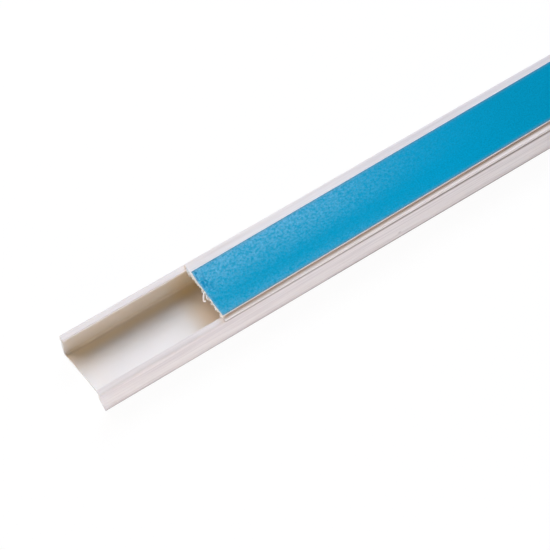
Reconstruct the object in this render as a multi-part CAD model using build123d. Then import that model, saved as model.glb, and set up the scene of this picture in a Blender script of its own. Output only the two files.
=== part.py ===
from build123d import *
from math import radians, tan
import os

# Cord cover raceway: an extruded PVC cover that lies on its crown, with its taped base clipped
# into the open side. X runs along the length, Y across it and Z up from the crown. Millimetres.

# The stick as it is sold
LENGTH = 400.0  # cover, end to end
WIDTH = 25.0  # over the side walls
COVER_HEIGHT = 12.5  # crown face to the top of the lips

# Section of the cover
WALL = 1.2
CROWN = 1.2
CROWN_EDGE_RADIUS = 0.5
INSIDE_RADIUS = 0.4
LIP_REACH = 2.4  # outer face of a wall to the edge of its lip
LIP_THICKNESS = 1.1
LIP_SHOULDER_RADIUS = 0.7
LIP_NOSE_RADIUS = 0.25

# Section of the base
BASE_THICKNESS = 1.2
BASE_INSET = 0.4  # long edge of the base, in from the outer face of the cover
BASE_EDGE_RADIUS = 0.25
LEG_THICKNESS = 1.0
LEG_ROOT_RADIUS = 0.4
BARB_REACH = 0.85
BARB_LAND = 0.35
BARB_TAPER = 1.1
SNAP_CLEARANCE = 0.25  # legs to lips on either side, and barbs to the undersides of the lips
NEAR_GAP = 0.1  # left of it at the near lip, where the base is pushed over

# Foam tape and its release liner, laid by hand and so a little askew on the base
TAPE_WIDTH = 19.0
TAPE_THICKNESS = 1.1
LINER_THICKNESS = 0.15
TAPE_SHIFT = -1.75  # off the centre line at the cut end of the base
TAPE_SKEW = 0.55  # degrees

# Hand-cut ends, at -X
BASE_SETBACK = 45.65  # base behind the end of the cover, on the centre line
BASE_SKEW = 0.5  # degrees that the base's cut is out of square
TAPE_TRIM = 0.15  # tape behind the cut end of the base
END_LEAN = 0.6  # crown behind the lips, where the cover's cut leans
CROWN_SKEW = 1.6  # further trim of the crown, from nothing at the far wall to this at the near one

MOUTH = WIDTH - 2 * LIP_REACH
INSIDE_WIDTH = WIDTH - 2 * WALL
COVER_END = -LENGTH / 2
BASE_END = COVER_END + BASE_SETBACK
BASE_SHIFT = NEAR_GAP - SNAP_CLEARANCE
BASE_TOP = COVER_HEIGHT + BASE_THICKNESS
TAPE_TOP = BASE_TOP + TAPE_THICKNESS
SAME_LEVEL = 1e-4


def strip(width, bottom, top):
    """Rectangular section face, centred across the raceway."""
    return Pos(0, (bottom + top) / 2) * Rectangle(width, top - bottom)


def corners(section, level):
    """Corners of a section at one level, those nearest the centre line first."""
    found = section.vertices().filter_by_position(Axis.Y, level - SAME_LEVEL, level + SAME_LEVEL)
    return found.sort_by(lambda corner: abs(corner.X))


def extrusion(section):
    """Section drawn across and up, run along the whole length of the stick."""
    return extrude(Plane.YZ * section, LENGTH / 2, both=True)


def sawn_off(stick, end):
    """Stick cut off at its -X end, a little out of square."""
    along = Vector(1, 0, 0).rotate(Axis.Z, BASE_SKEW)
    return split(stick, bisect_by=Plane((end, 0, 0), z_dir=along), keep=Keep.TOP)


def make_cover():
    """C-channel with lips turned in at its mouth."""
    hollow = strip(INSIDE_WIDTH, CROWN, COVER_HEIGHT - LIP_THICKNESS)
    hollow = fillet(hollow.vertices(), INSIDE_RADIUS)
    mouth = strip(MOUTH, COVER_HEIGHT / 2, 2 * COVER_HEIGHT)
    section = strip(WIDTH, 0, COVER_HEIGHT) - hollow - mouth
    section = fillet(corners(section, 0), CROWN_EDGE_RADIUS)
    section = fillet(corners(section, COVER_HEIGHT)[:2], LIP_NOSE_RADIUS)
    section = fillet(corners(section, COVER_HEIGHT)[-2:], LIP_SHOULDER_RADIUS)
    return hand_cut(extrusion(section))


def hand_cut(stick):
    """Cover with its open end cut by hand: leaning, and out of square across the crown."""
    lean = Plane((COVER_END, 0, COVER_HEIGHT), z_dir=(COVER_HEIGHT, 0, END_LEAN))
    stick = split(stick, bisect_by=lean, keep=Keep.TOP)
    far_wall, near_wall = INSIDE_WIDTH / 2, -INSIDE_WIDTH / 2
    crown_end = COVER_END + END_LEAN
    trim = make_face(
        Polyline(
            (COVER_END, far_wall),
            (crown_end, far_wall),
            (crown_end + CROWN_SKEW, near_wall),
            (COVER_END, near_wall),
            close=True,
        )
    )
    return stick - extrude(trim, CROWN)


def make_base():
    """Flat strip over the lips, with a barbed leg that hooks under each of them."""
    plate = strip(WIDTH - 2 * BASE_INSET, COVER_HEIGHT, BASE_TOP)
    plate = fillet(plate.vertices(), BASE_EDGE_RADIUS)

    leg_outside = MOUTH / 2 - SNAP_CLEARANCE
    leg_inside = leg_outside - LEG_THICKNESS
    leg_root = COVER_HEIGHT + BASE_THICKNESS / 2
    barb_edge = leg_outside + BARB_REACH
    catch = COVER_HEIGHT - LIP_THICKNESS - SNAP_CLEARANCE
    leg_tip = catch - BARB_LAND - BARB_TAPER
    leg = make_face(
        Polyline(
            (leg_inside, leg_root),
            (leg_outside, leg_root),
            (leg_outside, catch),
            (barb_edge, catch),
            (barb_edge, catch - BARB_LAND),
            (leg_outside, leg_tip),
            (leg_inside, leg_tip),
            close=True,
        )
    )
    section = plate + leg + mirror(leg, about=Plane.YZ)
    section = fillet(corners(section, COVER_HEIGHT)[:2], LEG_ROOT_RADIUS)
    return sawn_off(extrusion(Pos(BASE_SHIFT, 0) * section), BASE_END)


def laid_tape(bottom, thickness):
    """Layer of the tape, from the far end of the base to its own trimmed end."""
    half = TAPE_WIDTH / 2
    start, finish = COVER_END, -COVER_END
    middle_start, middle_finish = (
        TAPE_SHIFT + (x - BASE_END) * tan(radians(TAPE_SKEW)) for x in (start, finish)
    )
    plan = make_face(
        Polyline(
            (start, middle_start - half),
            (finish, middle_finish - half),
            (finish, middle_finish + half),
            (start, middle_start + half),
            close=True,
        )
    )
    return sawn_off(extrude(Pos(0, 0, bottom) * plan, thickness), BASE_END + TAPE_TRIM)


pieces = {
    "cover": make_cover(),
    "base": make_base(),
    "adhesive_tape": laid_tape(BASE_TOP, TAPE_THICKNESS),
    "release_liner": laid_tape(TAPE_TOP, LINER_THICKNESS),
}

os.makedirs("parts", exist_ok=True)
for name, solid in pieces.items():
    solid.label = name
    export_step(solid, f"parts/{name}.step")
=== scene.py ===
import math

import bmesh
import bpy
import numpy as np
from mathutils import Matrix, Vector, noise


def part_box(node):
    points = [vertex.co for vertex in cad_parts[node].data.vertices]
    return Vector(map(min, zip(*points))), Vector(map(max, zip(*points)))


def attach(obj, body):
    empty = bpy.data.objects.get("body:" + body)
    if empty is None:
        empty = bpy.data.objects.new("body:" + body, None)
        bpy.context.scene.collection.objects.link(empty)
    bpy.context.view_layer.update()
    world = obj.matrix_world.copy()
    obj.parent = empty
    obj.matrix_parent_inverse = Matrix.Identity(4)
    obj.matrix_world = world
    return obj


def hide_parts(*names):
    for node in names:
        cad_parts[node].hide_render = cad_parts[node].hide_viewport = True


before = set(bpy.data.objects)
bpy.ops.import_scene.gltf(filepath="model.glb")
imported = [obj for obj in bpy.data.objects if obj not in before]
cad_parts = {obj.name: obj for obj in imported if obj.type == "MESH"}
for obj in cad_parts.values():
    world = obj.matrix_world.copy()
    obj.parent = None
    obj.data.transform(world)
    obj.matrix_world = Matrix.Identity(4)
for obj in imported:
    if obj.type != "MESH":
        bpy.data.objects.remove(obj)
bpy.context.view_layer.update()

# Cord cover raceway: a white cover that lies on its crown, with its taped base clipped into the
# open side. X runs along the length, Y across it and Z up. Shapes are worked out in millimetres.
MM = 0.001
SEED = 7
SHARP_ANGLE = 35  # degrees between two faces, from which the edge between them shows


def box_mm(node):
    """Lowest and highest corners of a node of the frame, in millimetres."""
    low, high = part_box(node)
    return np.array(low) / MM, np.array(high) / MM


cover_low, cover_high = box_mm("cover")
base_low, base_high = box_mm("base")
tape_low, tape_high = box_mm("adhesive_tape")
liner_high = box_mm("release_liner")[1]

# Section of the cover
WALL = 1.2
CROWN = 1.2
CROWN_EDGE_RADIUS = 0.5
INSIDE_RADIUS = 0.4
FLOOR_RADIUS = 0.9  # inside corner at the crown
LIP_REACH = 2.4
LIP_THICKNESS = 1.1
LIP_SHOULDER_RADIUS = 0.7
LIP_NOSE_RADIUS = 0.25
BROKEN_EDGE = 0.08  # radius of an edge left sharp by the die
COVER_STEP = 0.14  # between points round the section

# Section of the base
UPPER_EDGE_RADIUS = 0.3  # upper edges of the plate
UNDER_EDGE_RADIUS = 0.35  # lower edges of the plate
LEG_THICKNESS = 1.0
LEG_ROOT_RADIUS = 0.4
BARB_REACH = 0.85
BARB_LAND = 0.35
BARB_TAPER = 1.1
SNAP_CLEARANCE = 0.25
BASE_STEP = 0.16  # between points round the section
EDGE_DRIFT = 0.13  # how far the plate's long edges wander across, a little bowed
DRIFT_MIDDLE = -100
DRIFT_REACH = 45

# Marks of the die
WAVE_PITCH = 2.4  # long shallow waves up the outer walls
WAVE_DEPTH = 0.015
WAVE_CREST = 4.9  # height of a crest
COVER_LINES = 170  # fine lines round the section
BASE_LINES = 110
LINE_DEPTH = 0.02  # of the deepest line
LINE_OVERLAP = 2  # how many times deeper lines may be where they meet
INNER_LINES = 0.3  # share of the depth inside the cover
LINE_SHARES = (0.2, 1)  # depths of the lines, as shares of the deepest
LINE_WIDTHS = (0.12, 0.5)
LINE_WAVES = (60, 240)  # lengths over which a line fades and comes back
LINE_FADE = 0.35  # share of its depth that comes and goes

# Places of the sections along the length
STATION_GAP = 7
END_STEPS = (0, 0.15, 0.4, 0.9, 1.8, 3.2, 5.2, 8)  # behind a cut end
PLAIN_END_STEPS = (-0.15, 0)
BASE_CUT_STEPS = (-8, -5, -2, -0.2, 0.8)  # on the cover, beside the cut end of the base
TAPE_STEPS = np.concatenate((np.linspace(0, 6, 22), np.linspace(6.6, 30, 34)))  # where it is crinkled
TAPE_RUN_START = 32  # even steps of the tape from there to the plain end
TAPE_RUN = 150  # how many of them

# Tape and liner
TAPE_WIDTH = 19.0
TAPE_SQUEEZE = 0.1  # top edges of the tape, pressed out past its width
TAPE_UNDERCUT = 0.35  # foot of the tape, in from its top edges
FILM_THICKNESS = 0.07
FILM_INSET = 0.18  # edge of the film, in from the edge of the tape
LAYER_POINTS = 60  # across a layer of the tape

# Hand-cut ends
CUT_SKEW = math.tan(math.radians(0.5))  # base, tape and liner
CUT_BOW = 0.0018  # how soon the scissors' cut through the tape bows back, per millimetre
BOW_MIDDLE = -4.0  # place across where it stands out most
NEAR_LEAN = 0.8  # foot of the cover's near wall, behind its lip
LEAN_HEIGHT = 7.5
CROWN_SKEW = 2.5
CROWN_BLEND = (0.5, 0.45)  # how far above the crown and past its near wall its cut runs out
TAPE_AHEAD = 0.15  # how far the ends of tape and film stand out past the cut in the frame
FILM_AHEAD = 0.37
SLIVERS = 110  # fine ones, along the base's cut end
SHAVING_STEPS = 6  # rings for each point on the path of a shaving
SHAVING_SIDES = 8
SHAVING_UNEVEN = 0.2  # share of its width that comes and goes
SHAVING_BUMP = 2.5  # rings from one bump of it to the next
TEARS = ((1, 1.3), (0.6, 0.4))  # depth and size of broad and fine tears in the cut through the tape
CRINKLE_REACH = 9  # how far behind the cut the film is crinkled

# How streaked the surfaces are, and on the cover's outer walls how darkened by painted shade, from 0 to 1
WALL_SHADE_BANDS = ((0, 1), (0.9, 0.85), (1.6, 0.65), (4.5, 0), (8.6, 0.65), (11, 0.42))  # height, how streaked and darkened: broad bands of painted shade, darkest at the foot
NEAR_STREAKS = 0.62  # on the near lip
PLAIN_STREAKS = 0.33  # elsewhere on the cover
BASE_STREAKS = 0.18
FAR_MARGIN_STREAKS = 0.5  # added on the far margin of the base, towards the far end
FINE_STREAKS = 0.35  # how sharply the fine streaks show on lips and base

# Painted shade and sheen, and marks of use, as shares of a full mark
JOINT_SHADE = 0.72  # under the edge of the base
MOUTH_SHADE = 0.85  # corners of the channel, at the open end
LIP_SHADE = 0.2  # under the lips
EDGE_SHADE = 0.3  # cut edge of the crown, towards the far wall
CORNER_SHADE = 0.45
COVERED_SHADE = 0.28  # inside the channel, under the base
MARGIN_SHADOW = 0.36  # near margin of the base
CREVICE_SHADE = 0.32  # line beside the foot of the tape
SCUFF = (-86.3, -12.5, 3.8)  # middle of a small grey scuff on the near wall
SCUFF_RADIUS = 1.1
# Painted sheen of the softbox on the film
EVEN_SHEEN = 0.05  # on the film, all over
NEAR_SHEEN = 0.33  # along its near edge
FAR_HALF_SHEEN = 0.54
FAR_EDGE_SHEEN = 0.2
SHEEN_END = 111  # where it fades, from the open end
SHEEN_FADE = 12
CUT_SHEEN = 0.16
CUT_SHEEN_REACH = 8
FILM_RIM = 0.42
RIM_WIDTH = 0.6
FILM_TEAR = 0.5  # white where the scissors stretched it
TEAR_START = 0.1  # behind the end of the film
TEAR_REACH = 0.28
BRUISE_REACH = 3

OPEN_END, COVER_SIDE, COVER_TOP = cover_low[0], cover_high[1], cover_high[2]
FAR_END = cover_high[0]
INSIDE = COVER_SIDE - WALL
MOUTH = COVER_SIDE - LIP_REACH
BASE_SIDE = (base_high[1] - base_low[1]) / 2
BASE_MIDDLE = (base_high[1] + base_low[1]) / 2
BASE_TOP = base_high[2]
BASE_CUT = base_low[0] + base_high[1] * CUT_SKEW
TAPE_TOP = tape_high[2]
TAPE_HALF = TAPE_WIDTH / 2
LINER_TOP = liner_high[2]
TAPE_CUT_MIDDLE = tape_low[1] + TAPE_HALF
TAPE_FAR_MIDDLE = tape_high[1] - TAPE_HALF
TAPE_CUT = tape_low[0] + (TAPE_CUT_MIDDLE + TAPE_HALF) * CUT_SKEW

rng = np.random.default_rng(SEED)


# Shapes


def ramp(value, start, finish):
    """Smooth step from 0 at start to 1 at finish, which may lie on either side of it."""
    share = np.clip((value - start) / (finish - start), 0, 1)
    return share * share * (3 - 2 * share)


def hump(value, middle, width):
    """Smooth hump with a height of 1 at its middle."""
    return np.exp(-(((value - middle) / width) ** 2))


def outline(corners, step):
    """Closed outline through corners (across, up, radius), with its arcs, in steps of about that size."""
    points = []
    for i, (across, up, radius) in enumerate(corners):
        corner = np.array((across, up))
        back = np.array(corners[i - 1][:2]) - corner
        ahead = np.array(corners[(i + 1) % len(corners)][:2]) - corner
        back, ahead = back / np.linalg.norm(back), ahead / np.linalg.norm(ahead)
        half = math.acos(np.clip(back @ ahead, -1, 1)) / 2
        bisector = (back + ahead) / np.linalg.norm(back + ahead)
        centre = corner + bisector * radius / math.sin(half)
        start = corner + back * radius / math.tan(half) - centre
        finish = corner + ahead * radius / math.tan(half) - centre
        count = max(3, math.ceil(radius * (math.pi - 2 * half) / step))
        for share in np.linspace(0, 1, count):
            spoke = start * (1 - share) + finish * share
            points.append(centre + spoke * radius / np.linalg.norm(spoke))
    filled = []
    for i, point in enumerate(points):
        ahead = points[(i + 1) % len(points)]
        count = max(1, round(np.linalg.norm(ahead - point) / step))
        filled += [point + (ahead - point) * k / count for k in range(count)]
    return np.array(filled)


def inward(section):
    """Unit vectors that point into the material all round a section that runs anticlockwise."""
    along = np.roll(section, -1, axis=0) - np.roll(section, 1, axis=0)
    normal = np.stack((-along[:, 1], along[:, 0]), axis=1)
    return normal / np.linalg.norm(normal, axis=1, keepdims=True)


def wander(places, size, seed):
    """Smooth noise from -1 to 1 along a run of places, with bumps of about that size."""
    return np.array([noise.noise(Vector((place / size, seed * 7.3, 0.5))) for place in places])


def round_length(section):
    """Distance of each point of a section along its outline."""
    gaps = np.linalg.norm(np.diff(section, axis=0), axis=1)
    return np.concatenate(([0], np.cumsum(gaps)))


def outside(across):
    """Marks the outer walls of the cover, where the die's lines show most."""
    return ramp(np.abs(across), INSIDE + 0.5, INSIDE + 1)


def wall_waves(section):
    """Depth of the long shallow waves up the outer walls."""
    across, up = section.T
    wave = np.cos(2 * math.pi * (up - WAVE_CREST) / WAVE_PITCH)
    return WAVE_DEPTH * (1 - wave) * outside(across)


def drawn(section, stations, lines, depth):
    """Sections at each station, scored by that many fine lengthwise lines, up to that depth."""
    where = round_length(section)
    place = rng.uniform(0, where[-1], lines)
    width = rng.uniform(*LINE_WIDTHS, lines)
    share = rng.uniform(*LINE_SHARES, lines)
    wave = rng.uniform(*LINE_WAVES, lines)
    phase = rng.uniform(0, 2 * math.pi, lines)
    shape = share * hump(where[:, None], place, width)
    swing = np.cos(2 * math.pi * stations[:, None] / wave + phase)
    fade = 1 - LINE_FADE + LINE_FADE * swing
    scored = np.minimum(fade @ shape.T, LINE_OVERLAP) * depth
    return section + inward(section) * scored[:, :, None]


def stations_from(cut):
    """Places along the length from a cut end to the plain one, close together at both."""
    start, finish = cut + END_STEPS[-1] + STATION_GAP / 2, FAR_END - 1
    run = np.linspace(start, finish, round((FAR_END - cut) / STATION_GAP))
    return np.concatenate((cut + np.array(END_STEPS), run, FAR_END + np.array(PLAIN_END_STEPS)))


def lofted(rings):
    """Vertices and faces of a closed solid through rings of points, capped at both ends."""
    count, size = rings.shape[:2]
    faces = []
    for ring in range(count - 1):
        low = ring * size
        for k in range(size):
            after = (k + 1) % size
            faces.append((low + k, low + after, low + size + after, low + size + k))
    for ring in (0, count - 1):
        faces.append(tuple(range(ring * size, (ring + 1) * size)))
    return rings.reshape(-1, 3), faces


def curve_through(points, count):
    """Smooth run of places through a few points."""
    points = np.array(points, float)
    padded = np.concatenate(([2 * points[0] - points[1]], points, [2 * points[-1] - points[-2]]))
    run = []
    for share in np.linspace(0, len(points) - 1, count):
        i = min(int(share), len(points) - 2)
        t = share - i
        a, b, c, d = padded[i:i + 4]
        run.append(
            b
            + 0.5 * t * (c - a)
            + t * t * (a - 2.5 * b + 2 * c - 0.5 * d)
            + t * t * t * (1.5 * (b - c) + 0.5 * (d - a))
        )
    return np.array(run)


def shaving(points, side, width, thickness, tip):
    """Curl of plastic along a few points from the cut, thin, and tapered to that share at its tip."""
    points = [at_cut(*point) for point in points]
    run = curve_through(points, SHAVING_STEPS * len(points))
    along = np.gradient(run, axis=0)
    along /= np.linalg.norm(along, axis=1, keepdims=True)
    side = np.array(side, float) - along * (along @ np.array(side, float))[:, None]
    side /= np.linalg.norm(side, axis=1, keepdims=True)
    face = np.cross(along, side)
    taper = 1 - (1 - tip) * np.linspace(0, 1, len(run)) ** 2
    taper *= 1 + SHAVING_UNEVEN * wander(np.arange(len(run)), SHAVING_BUMP, points[0][1])
    turns = np.linspace(0, 2 * math.pi, SHAVING_SIDES, endpoint=False)
    rings = [
        place
        + np.cos(turns)[:, None] * across * width / 2 * narrow
        + np.sin(turns)[:, None] * out * thickness / 2 * narrow
        for place, across, out, narrow in zip(run, side, face, taper)
    ]
    return lofted(np.array(rings))


def piece(name, solids, body, node, material, marks):
    """Object made of closed solids that are one real piece, in place of its node of the frame."""
    vertices, faces = [], []
    for points, quads in solids:
        faces += [tuple(k + len(vertices) for k in quad) for quad in quads]
        vertices += list(points)
    vertices = np.array(vertices)
    mesh = bpy.data.meshes.new(name)
    mesh.from_pydata(vertices * MM, [], faces)
    mesh.validate()
    for label, values in marks.items():
        attribute = mesh.attributes.new(label, "FLOAT", "POINT")
        attribute.data.foreach_set("value", values(vertices).astype(np.float32))
    turn_outward(mesh)
    mesh.shade_smooth()
    mesh.set_sharp_from_angle(angle=math.radians(SHARP_ANGLE))
    obj = bpy.data.objects.new(name, mesh)
    bpy.context.scene.collection.objects.link(obj)
    obj.data.materials.append(material)
    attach(obj, body)
    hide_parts(node)


def turn_outward(mesh):
    """Splits the ends of the closed solids in a mesh and turns all faces to point out of them."""
    work = bmesh.new()
    work.from_mesh(mesh)
    ends = [face for face in work.faces if len(face.verts) > 4]
    bmesh.ops.triangulate(work, faces=ends, ngon_method="BEAUTY")
    bmesh.ops.recalc_face_normals(work, faces=work.faces)
    work.to_mesh(mesh)
    work.free()


def both_sides(far, step):
    """Outline from the corners of its far half, anticlockwise, and their mirror image."""
    near = [(-across, up, radius) for across, up, radius in reversed(far)]
    return outline(far + near, step)


def cover_section():
    """Outline of the cover, from the far edge of the crown."""
    lip_bottom = COVER_TOP - LIP_THICKNESS
    far = [
        (COVER_SIDE, 0, CROWN_EDGE_RADIUS),
        (COVER_SIDE, COVER_TOP, LIP_SHOULDER_RADIUS),
        (MOUTH, COVER_TOP, LIP_NOSE_RADIUS),
        (MOUTH, lip_bottom, BROKEN_EDGE),
        (INSIDE, lip_bottom, INSIDE_RADIUS),
        (INSIDE, CROWN, FLOOR_RADIUS),
    ]
    return both_sides(far, COVER_STEP)


def base_section():
    """Outline of the base, from the root of its far leg."""
    leg_outside = MOUTH - SNAP_CLEARANCE
    leg_inside = leg_outside - LEG_THICKNESS
    catch = COVER_TOP - LIP_THICKNESS - SNAP_CLEARANCE
    tip = catch - BARB_LAND - BARB_TAPER
    far = [
        (leg_inside, COVER_TOP, LEG_ROOT_RADIUS),
        (leg_inside, tip, BROKEN_EDGE),
        (leg_outside, tip, BROKEN_EDGE),
        (leg_outside + BARB_REACH, catch - BARB_LAND, BROKEN_EDGE),
        (leg_outside + BARB_REACH, catch, BROKEN_EDGE),
        (leg_outside, catch, BROKEN_EDGE),
        (leg_outside, COVER_TOP, BROKEN_EDGE),
        (BASE_SIDE, COVER_TOP, UNDER_EDGE_RADIUS),
        (BASE_SIDE, BASE_TOP, UPPER_EDGE_RADIUS),
    ]
    return both_sides(far, BASE_STEP) + (BASE_MIDDLE, 0)


def cover_cut(across, up):
    """How far the cover's hand-cut end lies behind the ends of its lips."""
    above, past = CROWN_BLEND
    lean = NEAR_LEAN * np.clip(1 - up / LEAN_HEIGHT, 0, 1) * (across < 0)
    trim = CROWN_SKEW * np.clip((INSIDE - across) / (2 * INSIDE), 0, 1)
    in_crown = ramp(up, CROWN + above, CROWN) * ramp(across, -INSIDE - past, -INSIDE)
    return lean + (trim - lean) * in_crown


def run_out(section, stations, cut_back, reach):
    """Rings at the stations, whose first follows the cut and whose next ones straighten out."""
    fade = np.exp(-(stations - stations[0]) / reach)
    fade[-1] = 0
    along = stations[:, None] + fade[:, None] * cut_back
    return np.concatenate((along[:, :, None], section), axis=2)


def ragged(section, amount, sizes, seed):
    """Uneven depth of a hand-made cut round a section, from 0 to about that amount."""
    where = round_length(section)
    rough = sum(wander(where, size, seed + k) / (k + 1) for k, size in enumerate(sizes))
    rough -= rough.min()
    return amount * rough / rough.max()


def make_cover():
    """Cover: C-channel with lips turned in, sawn by hand at one end."""
    section = cover_section()
    stations = np.sort(np.concatenate((stations_from(OPEN_END), BASE_CUT + np.array(BASE_CUT_STEPS))))
    depth = LINE_DEPTH * (INNER_LINES + (1 - INNER_LINES) * outside(section[:, 0]))
    section = section + inward(section) * wall_waves(section)[:, None]
    sections = drawn(section, stations, COVER_LINES, depth)
    across, up = section.T
    rough = ragged(section, amount=0.2, sizes=(2.5, 0.7), seed=1)
    clean = ramp(across, -8.5, -10) * ramp(up, 6, 9)  # near lip, and the wall just under it
    cut_back = cover_cut(across, up) + rough * (1 - clean)
    return [lofted(run_out(sections, stations, cut_back, reach=4))]


def make_base():
    """Base, with the burr and shavings that the saw left on it."""
    section = base_section()
    stations = stations_from(BASE_CUT)
    sections = drawn(section, stations, BASE_LINES, LINE_DEPTH)
    drift = EDGE_DRIFT * np.tanh((stations - DRIFT_MIDDLE) / DRIFT_REACH)
    across = section[:, 0]
    sections[:, :, 0] += drift[:, None] * ramp(np.abs(across), MOUTH, MOUTH + 1)
    cut_back = -across * CUT_SKEW + ragged(section, amount=0.32, sizes=(1.6, 0.5), seed=4)
    return [lofted(run_out(sections, stations, cut_back, reach=6))] + saw_shavings()


def saw_shavings():
    """Shavings that still hang on the base's cut end, each as it lies, and fine slivers along it."""
    hook = [(0.3, -0.2, -0.3), (-0.3, -0.6, -0.3), (-1, -1.5, -0.5), (-1.6, -2.5, -0.6), (-1.2, -3.2, -0.6)]
    curl = [(0.3, -1.5, -0.3), (-0.2, -2.0, -0.2), (-0.5, -2.9, -0.6)]
    knob = [(0.3, 0.9, -0.4), (-0.2, 0.5, -0.5), (-0.3, 0.1, -0.7)]
    nib = [(0.3, -6.9, -0.4), (-0.15, -7.2, -0.5), (-0.3, -7.5, -0.7)]
    flake = [(0.3, 10.3, -0.3), (-0.1, 9.7, -0.5), (-0.2, 9.0, -1.0)]
    lump = [(0.4, -9.2, -0.3), (-0.05, -9.7, -0.4), (-0.1, -10.4, -0.5), (0.1, -11.0, -0.4)]
    shapes = [  # path, side that faces out, width, thickness
        (hook, (0.6, 0, 1), 0.95, 0.7),
        (curl, (0.3, 0, 1), 0.8, 0.5),
        (knob, (0.3, 0, 1), 0.7, 0.5),
        (nib, (0.3, 0, 1), 0.6, 0.4),
        (flake, (0.2, 0.3, 1), 1.1, 0.3),
        (lump, (0.2, 0, 1), 0.8, 0.4),
    ]
    solids = [shaving(points, side, width, thickness, tip=0.6) for points, side, width, thickness in shapes]
    for _ in range(SLIVERS):
        y = rng.uniform(-11.6, 11.4)
        z = rng.uniform(-0.9, -0.15)
        length = rng.uniform(0.1, 0.5)
        lean = rng.uniform(-0.35, 0.35)
        drop = rng.uniform(-0.3, 0.05)
        sliver = [(0.4, y, z), (0.1 - length / 2, y + lean / 2, z), (0.1 - length, y + lean, z + drop)]
        width, thickness = rng.uniform(0.12, 0.4), rng.uniform(0.06, 0.14)
        solids.append(shaving(sliver, (0, 1, 0.3), width, thickness, tip=0.25))
    return solids


def at_cut(along, across, up):
    """Place given from the cut end of the base, at the level of its top."""
    return BASE_CUT - across * CUT_SKEW + along, across, BASE_TOP + up


def tape_middle(along):
    """Centre line of the tape, laid by hand a little askew on the base."""
    share = (along - TAPE_CUT) / (FAR_END - TAPE_CUT)
    return TAPE_CUT_MIDDLE + (TAPE_FAR_MIDDLE - TAPE_CUT_MIDDLE) * share


def sag(along, across):
    """How far the film lies below the level of the frame's liner, never above it."""
    handled = math.exp(-max(0, along - TAPE_CUT) / CRINKLE_REACH)
    swells = (  # depth, length along, length across, seed
        (0.012, 16, 9, 3.1),
        (0.006, 60, 2.6, 8.2),
        (0.02 * handled, 1.3, 1.7, 5.7),
    )
    return sum(
        depth * (noise.noise(Vector((along / length, across / width, seed))) + 1)
        for depth, length, width, seed in swells
    )


def layer_of_tape(bottom, top, inset, undercut, ahead, rough, seed, follow):
    """Layer of the tape. follow is how much of the film's sag its bottom and its top take."""
    half = TAPE_HALF - inset
    across = np.linspace(-half, half, LAYER_POINTS)
    upper = np.stack((across[::-1], np.full(LAYER_POINTS, top)), axis=1)
    lower = np.stack((across * (1 - undercut / half), np.full(LAYER_POINTS, bottom)), axis=1)
    section = np.concatenate((lower, upper))
    run = np.linspace(TAPE_CUT + TAPE_RUN_START, FAR_END, TAPE_RUN)
    stations = np.concatenate((TAPE_CUT - ahead + TAPE_STEPS, run))
    torn = sum(deep * wander(section[:, 0], size, seed + k) for k, (deep, size) in enumerate(TEARS))
    torn = rough * (torn - torn.min()) / np.ptp(torn)
    torn += CUT_BOW * (section[:, 0] + TAPE_CUT_MIDDLE - BOW_MIDDLE) ** 2
    rings = run_out(np.repeat(section[None], len(stations), axis=0), stations, torn, reach=0.7)
    for ring, place in zip(rings, stations):
        ring[:, 1] += tape_middle(place)
        ring[:, 0] -= ring[:, 1] * CUT_SKEW * (1 - (place - TAPE_CUT) / (FAR_END - TAPE_CUT))
        for point in ring:
            share = follow[0] if point[2] < (bottom + top) / 2 else follow[1]
            point[2] -= share * sag(point[0], point[1])
    return [lofted(rings)]


# Materials

SHARE, UNDER, OVER, MIXED = 0, 6, 7, 2  # sockets of a Mix node for colours


def linear(code):
    """Linear colour of an sRGB hex value."""
    parts = [int(code[i:i + 2], 16) / 255 for i in (1, 3, 5)]
    return (*[p / 12.92 if p <= 0.04045 else ((p + 0.055) / 1.055) ** 2.4 for p in parts], 1)


def add(tree, kind, settings, inputs):
    """Node of that kind with its settings, and with a value or a link on each input named."""
    node = tree.nodes.new("ShaderNode" + kind)
    for name, value in settings.items():
        setattr(node, name, value)
    for name, value in inputs.items():
        if isinstance(value, bpy.types.NodeSocket):
            tree.links.new(value, node.inputs[name])
        else:
            node.inputs[name].default_value = value
    return node


def blank(name):
    """Empty material and its node tree."""
    material = bpy.data.materials.new(name)
    material.use_nodes = True
    material.node_tree.nodes.clear()
    return material, material.node_tree


def per_metre(*sizes):
    """Texture scale that makes a pattern of about these sizes, in millimetres, along X, Y and Z."""
    return tuple(1 / (size * MM) for size in sizes)


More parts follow.
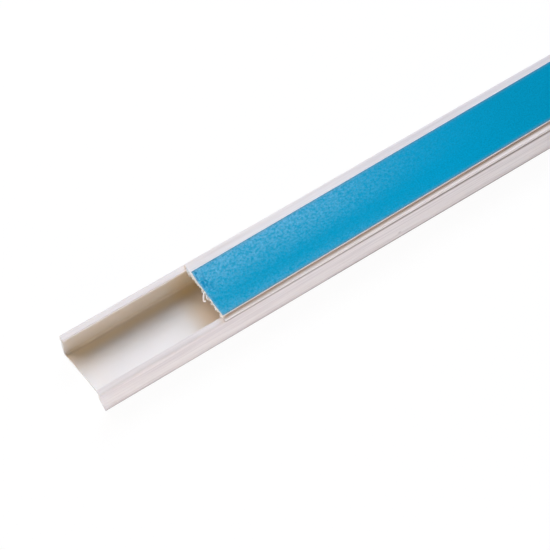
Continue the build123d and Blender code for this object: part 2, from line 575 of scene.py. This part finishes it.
def extruded_pvc():
    """Rigid white PVC drawn through a die: satin, streaked lengthwise, whiter and matte where sawn, with
    painted shade on its outer walls, in its joints and in its channel.
    """
    material, tree = blank("extruded_rigid_pvc")
    place = add(tree, "TexCoord", {}, {}).outputs["Object"]
    sawn, streaks_and_shade, streaky, inner, painted_shade, tape_shadow, warm_shade = (
        add(tree, "Attribute", {"attribute_name": name}, {}).outputs["Fac"]
        for name in ("sawn", "streaks_and_shade", "streaky", "inner", "painted_shade", "tape_shadow", "warm_shade")
    )
    # The die's lines are about 0.2 mm wide, drawn coarser here so that they show at this size
    streak_place = add(tree, "Mapping", {}, {"Vector": place, "Scale": per_metre(26, 0.42, 0.42)})
    streak = add(tree, "TexNoise", {}, {"Vector": streak_place.outputs[0], "Scale": 1, "Detail": 1})
    cloud_place = add(tree, "Mapping", {}, {"Vector": place, "Scale": per_metre(30, 14, 14)})
    cloud = add(tree, "TexNoise", {}, {"Vector": cloud_place.outputs[0], "Scale": 1, "Detail": 2})
    grit_place = add(tree, "Mapping", {}, {"Vector": place, "Scale": per_metre(0.35, 0.35, 0.35)})
    grit = add(tree, "TexNoise", {}, {"Vector": grit_place.outputs[0], "Scale": 1, "Detail": 2})
    line = add(
        tree,
        "MapRange",
        {"interpolation_type": "SMOOTHSTEP"},
        {"Value": streak.outputs[0], "From Min": 0.38, "From Max": 0.62, "To Min": -0.3, "To Max": 0.3},
    )
    fine = add(tree, "Math", {"operation": "MULTIPLY"}, {0: line.outputs[0], 1: streaky})
    streaked_and_shaded = add(tree, "Math", {"operation": "MULTIPLY_ADD"}, {0: streaks_and_shade, 1: 0.75, 2: fine.outputs[0]})
    to_scuff = add(tree, "VectorMath", {"operation": "DISTANCE"}, {0: place, 1: Vector(SCUFF) * MM})
    scuff = add(
        tree,
        "MapRange",
        {"interpolation_type": "SMOOTHSTEP"},
        {"Value": to_scuff.outputs["Value"], "From Max": SCUFF_RADIUS * MM, "To Min": 0.4, "To Max": 0},
    )
    darkened = add(tree, "Math", {"operation": "MAXIMUM"}, {0: painted_shade, 1: scuff.outputs[0]})
    coats = (
        # grey pink: the die's streaks, and painted shade in bands up the outer walls and at their foot
        ("MIX", streaked_and_shaded.outputs[0], "#D8CECB"),
        ("MIX", inner, "#F1ECE6"),
        ("MULTIPLY", cloud.outputs[0], "#FCFAF9"),
        # dark grey: painted shade lines in joints, corners and under edges, and a real grey scuff on the
        # near wall
        ("MIX", darkened.outputs[0], "#968880"),
        # warm brown: painted shadow of the tape on the base's near margin
        ("MIX", tape_shadow, "#D6B79C"),
        # khaki: painted warm shade in the channel's corners and under the base
        ("MIX", warm_shade, "#E4CA92"),
        ("MIX", sawn, "#F0F5F9"),
    )
    colour = linear("#F3ECE6")
    for blend, share, code in coats:
        coat = {SHARE: share, UNDER: colour, OVER: linear(code)}
        colour = add(tree, "Mix", {"data_type": "RGBA", "blend_type": blend}, coat).outputs[MIXED]
    satin = add(tree, "MapRange", {}, {"Value": streak.outputs[0], "To Min": 0.36, "To Max": 0.5})
    rough = add(tree, "Math", {"operation": "MULTIPLY_ADD"}, {0: sawn, 1: 0.3, 2: satin.outputs[0]})
    scored = add(
        tree, "Bump", {}, {"Height": streaked_and_shaded.outputs[0], "Strength": 0.12, "Distance": 0.04 * MM}
    )
    torn_depth = add(tree, "Math", {"operation": "MULTIPLY"}, {0: sawn, 1: grit.outputs[0]})
    torn = add(
        tree,
        "Bump",
        {},
        {
            "Height": torn_depth.outputs[0],
            "Strength": 0.5,
            "Distance": 0.12 * MM,
            "Normal": scored.outputs[0],
        },
    )
    shader = add(
        tree,
        "BsdfPrincipled",
        {},
        {
            "Base Color": colour,
            "Roughness": rough.outputs[0],
            "IOR": 1.53,
            "Subsurface Weight": 0.1,
            "Subsurface Radius": (1.0, 0.7, 0.5),
            "Subsurface Scale": 0.2 * MM,
            "Normal": torn.outputs[0],
        },
    )
    add(tree, "OutputMaterial", {}, {"Surface": shader.outputs[0]})
    return material


def foam_tape():
    """Closed-cell polyethylene foam: white, matte, with open cells where it was cut and a foot darkened
    brown by adhesive dirt and painted crevice shade.
    """
    material, tree = blank("closed_cell_foam_tape")
    place = add(tree, "TexCoord", {}, {}).outputs["Object"]
    foot = add(tree, "Attribute", {"attribute_name": "foot"}, {}).outputs["Fac"]
    cell_place = add(tree, "Mapping", {}, {"Vector": place, "Scale": per_metre(0.3, 0.3, 0.3)})
    cell = add(tree, "TexVoronoi", {}, {"Vector": cell_place.outputs[0], "Scale": 1})
    darkened = add(
        tree,
        "MapRange",
        {"interpolation_type": "SMOOTHSTEP"},
        {"Value": foot, "From Min": 0.58, "From Max": 0.95},
    )
    colour = linear("#FDFDFB")
    # brown at the foot: adhesive dirt and painted crevice shade
    for share, code in ((cell.outputs["Distance"], "#F6F2EC"), (darkened.outputs[0], "#8B6653")):
        coat = {SHARE: share, UNDER: colour, OVER: linear(code)}
        colour = add(tree, "Mix", {"data_type": "RGBA"}, coat).outputs[MIXED]
    pitted = add(
        tree,
        "Bump",
        {"invert": True},
        {"Height": cell.outputs["Distance"], "Strength": 0.7, "Distance": 0.12 * MM},
    )
    shader = add(
        tree,
        "BsdfPrincipled",
        {},
        {
            "Base Color": colour,
            "Roughness": 0.85,
            "IOR": 1.5,
            "Subsurface Weight": 0.15,
            "Subsurface Radius": (1.0, 0.75, 0.5),
            "Subsurface Scale": 0.3 * MM,
            "Normal": pitted.outputs[0],
        },
    )
    add(tree, "OutputMaterial", {}, {"Surface": shader.outputs[0]})
    return material


def release_film():
    """Blue polyethylene film, cast and siliconised: even and satin, with a painted sheen of the softbox
    towards the cut end, painted shade towards the far end, and bruised where handled.
    """
    material, tree = blank("siliconised_polyethylene_film")
    place = add(tree, "TexCoord", {}, {}).outputs["Object"]
    sheen, bruise, rim, torn, far_shade = (
        add(tree, "Attribute", {"attribute_name": name}, {}).outputs["Fac"]
        for name in ("sheen", "bruise", "rim", "torn", "far_shade")
    )
    grain_place = add(tree, "Mapping", {}, {"Vector": place, "Scale": per_metre(0.5, 0.5, 0.5)})
    grain = add(tree, "TexNoise", {}, {"Vector": grain_place.outputs[0], "Scale": 1, "Detail": 2})
    pebble_place = add(tree, "Mapping", {}, {"Vector": place, "Scale": per_metre(0.9, 0.8, 0.8)})
    pebble = add(tree, "TexNoise", {}, {"Vector": pebble_place.outputs[0], "Scale": 1, "Detail": 3})
    fold_place = add(tree, "Mapping", {}, {"Vector": place, "Scale": per_metre(1.1, 1.8, 1.8)})
    fold = add(tree, "TexNoise", {}, {"Vector": fold_place.outputs[0], "Scale": 1, "Detail": 2})
    speck = add(
        tree,
        "MapRange",
        {},
        {"Value": pebble.outputs[0], "From Min": 0.35, "From Max": 0.65, "To Min": 0.3, "To Max": 1.65},
    )
    speckled_sheen = add(tree, "Math", {"operation": "MULTIPLY"}, {0: speck.outputs[0], 1: sheen})
    patch = add(
        tree,
        "MapRange",
        {"interpolation_type": "SMOOTHSTEP"},
        {"Value": fold.outputs[0], "From Min": 0.49, "From Max": 0.6},
    )
    bruised = add(tree, "Math", {"operation": "MULTIPLY"}, {0: patch.outputs[0], 1: bruise})
    shade = add(
        tree,
        "MapRange",
        {},
        {"Value": grain.outputs[0], "From Min": 0.3, "From Max": 0.7, "To Min": 0.87, "To Max": 1.13},
    )
    coats = (
        # darker blue: painted shade towards the far end
        ("MIX", far_shade, linear("#009EC4")),
        # pale blue: painted sheen, the softbox's reflection
        ("MIX", speckled_sheen.outputs[0], linear("#66BFE3")),
        ("MIX", bruised.outputs[0], linear("#008DBF")),
        ("MIX", rim, linear("#7F8F96")),
        ("MIX", torn, linear("#D9DDDC")),
        ("MULTIPLY", 1, shade.outputs[0]),
    )
    colour = linear("#00A6D0")
    for blend, share, over in coats:
        coat = {SHARE: share, UNDER: colour, OVER: over}
        colour = add(tree, "Mix", {"data_type": "RGBA", "blend_type": blend}, coat).outputs[MIXED]
    pebbled = add(
        tree, "Bump", {}, {"Height": pebble.outputs[0], "Strength": 0.15, "Distance": 0.08 * MM}
    )
    shader = add(
        tree,
        "BsdfPrincipled",
        {},
        {
            "Base Color": colour,
            "Roughness": 0.5,
            "IOR": 1.5,
            "Specular IOR Level": 0.01,
            "Normal": pebbled.outputs[0],
        },
    )
    add(tree, "OutputMaterial", {}, {"Surface": shader.outputs[0]})
    return material


# Marks on the pieces, from 0 to 1 at each point


def sawn_end(cut, depth, most):
    """Marks how freshly sawn each point is: most on the cut end, none further off than that depth."""

    def marked(points):
        along, across, _ = points.T
        off = np.abs(along + across * CUT_SKEW - cut)
        margin = ramp(np.abs(across), MOUTH - 1.6, MOUTH + 0.4)
        return most * (1 - 0.7 * margin) * ramp(off, depth, 0)

    return marked


def wall_streaks_and_shade(points):
    """Marks how streaked the cover is and where painted shade darkens it: broad bands up the outer walls
    that paint the shade of their shallow waves, darkest at their foot as painted contact shade, and more on
    the near lip.
    """
    _, across, up = points.T
    height, streaked_and_shaded = zip(*WALL_SHADE_BANDS)
    band = np.interp(up, height, streaked_and_shaded)
    plain = np.where(across < 0, NEAR_STREAKS, PLAIN_STREAKS)
    return plain + (band - plain) * outside(across)


def base_tone(points):
    """Marks how streaked the base is: more on its far margin, towards the far end."""
    along, across, _ = points.T
    far = ramp(along - OPEN_END, 95, 150) * (across > 0)
    return BASE_STREAKS + FAR_MARGIN_STREAKS * far


def fine_streaks(points):
    """Marks how sharply the fine streaks show: most on the outer walls, less on lips and base."""
    _, across, up = points.T
    walls = outside(across) * ramp(up, COVER_TOP - 0.6, COVER_TOP - 1.2)
    return FINE_STREAKS + (1 - FINE_STREAKS) * walls


def channel(points):
    """Marks the inside of the channel, which is given a tint of its own."""
    _, across, up = points.T
    within = COVER_SIDE - WALL / 2
    return ramp(np.abs(across), within, within - 0.3) * ramp(up, COVER_TOP, COVER_TOP - 0.6)


def painted_shade_lines(points):
    """Painted shade: dark lines in the joint under the base's edge, at the foot of the outer walls on the
    floor, in the channel's corners at the open end, under the lips and along the crown's cut edge.
    """
    along, across, up = points.T
    out, open_end = np.abs(across), along - OPEN_END
    joint = ramp(up, COVER_TOP - 0.45, COVER_TOP - 0.2) * ramp(up, COVER_TOP + 0.35, COVER_TOP + 0.15)
    joint *= ramp(out, BASE_SIDE - 0.3, BASE_SIDE - 0.15) * ramp(along, BASE_CUT, BASE_CUT + 0.5)
    reach = 0.9 + 0.25 * ramp(open_end, 50, 110)
    foot = ramp(up, reach, reach - 0.35) * outside(across)
    mouth = np.exp(-open_end / 8 - (up - CROWN) / 3) * channel(points) * ramp(out, 9.6, 10.8)
    by_lip = channel(points) * ramp(up, 8.9, 9.4) * ramp(out, 10.4, 11)
    edge = np.exp(-np.maximum(0, open_end - cover_cut(across, up)) / 0.6)
    edge *= ramp(across, 3, 8) * ramp(up, CROWN + 0.6, CROWN + 0.3)
    painted_shade = JOINT_SHADE * joint + foot + MOUTH_SHADE * mouth + LIP_SHADE * by_lip + EDGE_SHADE * edge
    return np.clip(painted_shade, 0, 1)


def painted_channel_shade(points):
    """Painted shade: a warm khaki tint in the channel's bottom corners, and inside it under the base, where
    the base's shadow falls.
    """
    along, across, up = points.T
    corner = CORNER_SHADE * hump(np.abs(across), 9.2, 1.9) * ramp(up, CROWN + 1.6, CROWN + 0.4)
    covered = COVERED_SHADE * ramp(along, BASE_CUT - 8, BASE_CUT - 2)
    return channel(points) * (corner + covered)


def painted_tape_shadow(points):
    """Painted shadow of the tape on the near margin of the base, darkest in the crevice beside its foot."""
    along, across, up = points.T
    tape_edge = tape_middle(along) - TAPE_HALF
    off = tape_edge - across
    margin = tape_edge - BASE_MIDDLE + BASE_SIDE
    darkened = MARGIN_SHADOW * hump(off / margin, 0, 0.55) + CREVICE_SHADE * hump(off, 0.2, 0.35)
    return darkened * ramp(off, -0.6, -0.3) * ramp(up, BASE_TOP - 0.3, BASE_TOP - 0.1)


def tape_foot_dirt_and_shade(points):
    """Marks the foot of the tape's long sides, darkened brown by the dust the adhesive took up and by
    painted shade in the crevice there.
    """
    along, _, up = points.T
    low = np.clip((TAPE_TOP - up) / (TAPE_TOP - BASE_TOP), 0, 1)
    return low * ramp(along, TAPE_CUT + 0.3, TAPE_CUT + 1.1)


def across_tape(points):
    """Share of the tape's width at which each point lies, from its near edge."""
    return (points[:, 1] - tape_middle(points[:, 0])) / TAPE_WIDTH + 0.5


def from_tape_cut(points):
    """Distance of each point from the cut through the tape, as if it were straight."""
    return points[:, 0] + points[:, 1] * CUT_SKEW - TAPE_CUT


def film_sheen(points):
    """Painted sheen, the softbox's reflection on the film: over its far half and along its edges, towards
    the cut end.
    """
    open_end, share = points[:, 0] - OPEN_END, across_tape(points)
    sheen = EVEN_SHEEN + FAR_HALF_SHEEN * ramp(share, 0.25, 0.85) + FAR_EDGE_SHEEN * hump(share, 1, 0.1)
    sheen += NEAR_SHEEN * (1 - 0.5 * ramp(open_end, 60, 120)) * hump(share, 0, 0.14)
    at_cut_end = CUT_SHEEN * np.exp(-np.maximum(0, from_tape_cut(points)) / CUT_SHEEN_REACH)
    return sheen / (1 + np.exp((open_end - SHEEN_END) / SHEEN_FADE)) + at_cut_end


def film_far_shade(points):
    """Painted shade: the film darker towards its far end, where the lamps' light falls off."""
    return ramp(points[:, 0] - OPEN_END, 130, 180)


def film_rim(points):
    """Marks a grey rim along the long edges of the film."""
    off = np.abs(points[:, 1] - tape_middle(points[:, 0]))
    return FILM_RIM * hump(off, TAPE_HALF - FILM_INSET, RIM_WIDTH)


def film_torn(points):
    """Marks the cut end of the film, stretched white by the scissors."""
    bowed = CUT_BOW * (points[:, 1] - BOW_MIDDLE) ** 2
    from_end = from_tape_cut(points) + FILM_AHEAD - bowed
    return FILM_TEAR * np.exp(-np.maximum(0, from_end - TEAR_START) / TEAR_REACH)


def film_bruise(points):
    """Bruises where the film was gripped, at the far corner of the cut."""
    from_cut = np.maximum(0, points[:, 0] - TAPE_CUT)
    return hump(from_cut, 0, BRUISE_REACH) * ramp(across_tape(points), 0, 5 / 7)


# The pieces

pvc = extruded_pvc()
foam = foam_tape()
film = release_film()

piece(
    "cover",
    make_cover(),
    "cover",
    "cover",
    pvc,
    {
        "sawn": sawn_end(OPEN_END, depth=6, most=0.6),
        "streaks_and_shade": wall_streaks_and_shade,
        "streaky": fine_streaks,
        "inner": channel,
        "painted_shade": painted_shade_lines,
        "warm_shade": painted_channel_shade,
    },
)
piece(
    "base",
    make_base(),
    "base",
    "base",
    pvc,
    {
        "sawn": sawn_end(BASE_CUT, depth=0.9, most=1),
        "streaks_and_shade": base_tone,
        "streaky": fine_streaks,
        "inner": channel,
        "painted_shade": painted_shade_lines,
        "tape_shadow": painted_tape_shadow,
    },
)
piece(
    "adhesive_tape",
    layer_of_tape(
        bottom=BASE_TOP,
        top=TAPE_TOP,
        inset=-TAPE_SQUEEZE,
        undercut=TAPE_UNDERCUT,
        ahead=TAPE_AHEAD,
        rough=0.2,
        seed=11,
        follow=(0, 1),
    ),
    "base",
    "adhesive_tape",
    foam,
    {"foot": tape_foot_dirt_and_shade},
)
piece(
    "release_liner",
    layer_of_tape(
        bottom=LINER_TOP - FILM_THICKNESS,
        top=LINER_TOP,
        inset=FILM_INSET,
        undercut=0,
        ahead=FILM_AHEAD,
        rough=0.25,
        seed=15,
        follow=(1, 1),
    ),
    "base",
    "release_liner",
    film,
    {"sheen": film_sheen, "bruise": film_bruise, "far_shade": film_far_shade, "rim": film_rim, "torn": film_torn},
)


# Floor, light and camera

LAMPS = (  # name, way to it from the object, distance, width and height in metres, level, colour
    ("key_right", (0.23, 0.494, 0.839), 1.2, 0.8, 0.75, 0.48, (0.48, 0.74, 1.0)),
    ("key_low", (0.49, 0.587, 0.643), 1.2, 0.6, 0.5, 0.29, (0.73, 0.77, 1.0)),
    ("key_left", (-0.28, 0.48, 0.83), 1.2, 0.6, 0.6, 0.455, (1.0, 0.79, 0.65)),
    ("front", (-0.07, -0.992, 0.105), 0.4, 0.1, 0.08, 0.485, (0.67, 0.76, 0.98)),
    ("front_left", (-0.55, -0.75, 0.4), 0.8, 0.5, 0.25, 0.315, (1.0, 0.77, 0.5)),
    ("left", (-0.998, 0.05, 0.03), 0.8, 0.4, 0.05, 0.27, (0.74, 0.87, 1.0)),
)


def seen_by_camera(tree):
    """Socket that is 1 for what the camera sees, straight or in a glossy or clear piece."""
    path = add(tree, "LightPath", {}, {})
    seen = path.outputs["Is Camera Ray"]
    for ray in ("Is Glossy Ray", "Is Transmission Ray"):
        seen = add(tree, "Math", {"operation": "MAXIMUM"}, {0: seen, 1: path.outputs[ray]}).outputs[0]
    return seen


def pale_floor():
    """Wide matte floor that the camera sees as white, with the object's shadow on it."""
    material, tree = blank("matte_white_floor")
    matte = add(tree, "BsdfDiffuse", {}, {"Color": linear("#E4E4E4")})
    shadowed = add(tree, "BsdfDiffuse", {}, {"Color": linear("#4A4A4A")})
    glow = add(tree, "Emission", {}, {"Color": linear("#FFFFFF"), "Strength": 0.945})
    shown = add(tree, "AddShader", {}, {0: shadowed.outputs[0], 1: glow.outputs[0]})
    seen = seen_by_camera(tree)
    both = add(tree, "MixShader", {}, {0: seen, 1: matte.outputs[0], 2: shown.outputs[0]})
    add(tree, "OutputMaterial", {}, {"Surface": both.outputs[0]})
    side = 6.0
    corners = [(-side, -side, 0), (side, -side, 0), (side, side, 0), (-side, side, 0)]
    mesh = bpy.data.meshes.new("floor")
    mesh.from_pydata(corners, [], [(0, 1, 2, 3)])
    floor = bpy.data.objects.new("floor", mesh)
    floor.location.z = -0.02 * MM
    bpy.context.scene.collection.objects.link(floor)
    floor.data.materials.append(material)


def white_studio():
    """World that the camera sees as white, and that gives the object only a little warm light."""
    world = bpy.data.worlds.new("studio")
    bpy.context.scene.world = world
    world.use_nodes = True
    tree = world.node_tree
    tree.nodes.clear()
    around = add(tree, "Background", {}, {"Color": (1.0, 0.85, 0.7, 1), "Strength": 0.03})
    white = add(tree, "Background", {}, {"Color": linear("#FFFFFF"), "Strength": 1})
    seen = seen_by_camera(tree)
    mixed = add(tree, "MixShader", {}, {0: seen, 1: around.outputs[0], 2: white.outputs[0]})
    add(tree, "OutputWorld", {}, {"Surface": mixed.outputs[0]})


def softbox(name, toward, distance, width, height, level, colour):
    """Soft light on the open end, with the level that it gives a surface that faces it."""
    aim = Vector((-150, 0, 6)) * MM
    lamp = bpy.data.lights.new(name, "AREA")
    lamp.shape = "RECTANGLE"
    lamp.size = width
    lamp.size_y = height
    lamp.color = colour
    lamp.energy = level * (math.pi * distance) ** 2
    light = bpy.data.objects.new(name, lamp)
    away = Vector(toward).normalized()
    light.location = aim + away * distance
    light.rotation_euler = away.to_track_quat("Z", "Y").to_euler()
    bpy.context.scene.collection.objects.link(light)


def camera():
    """Camera where the photograph was taken from."""
    place = Vector((-274.736, -221.218, 480.264)) * MM
    yaw, pitch = math.radians(33.693), math.radians(61.173)
    data = bpy.data.cameras.new("camera")
    data.sensor_fit = "HORIZONTAL"
    data.sensor_width = 36
    data.lens = 109.808
    data.clip_start = 0.01
    obj = bpy.data.objects.new("camera", data)
    obj.matrix_world = Matrix.Translation(place) @ (
        Matrix.Rotation(-yaw, 4, "Z") @ Matrix.Rotation(math.pi / 2 - pitch, 4, "X")
    )
    bpy.context.scene.collection.objects.link(obj)
    bpy.context.scene.camera = obj


pale_floor()
white_studio()
for lamp in LAMPS:
    softbox(*lamp)
camera()
bpy.context.scene.view_settings.view_transform = "Standard"
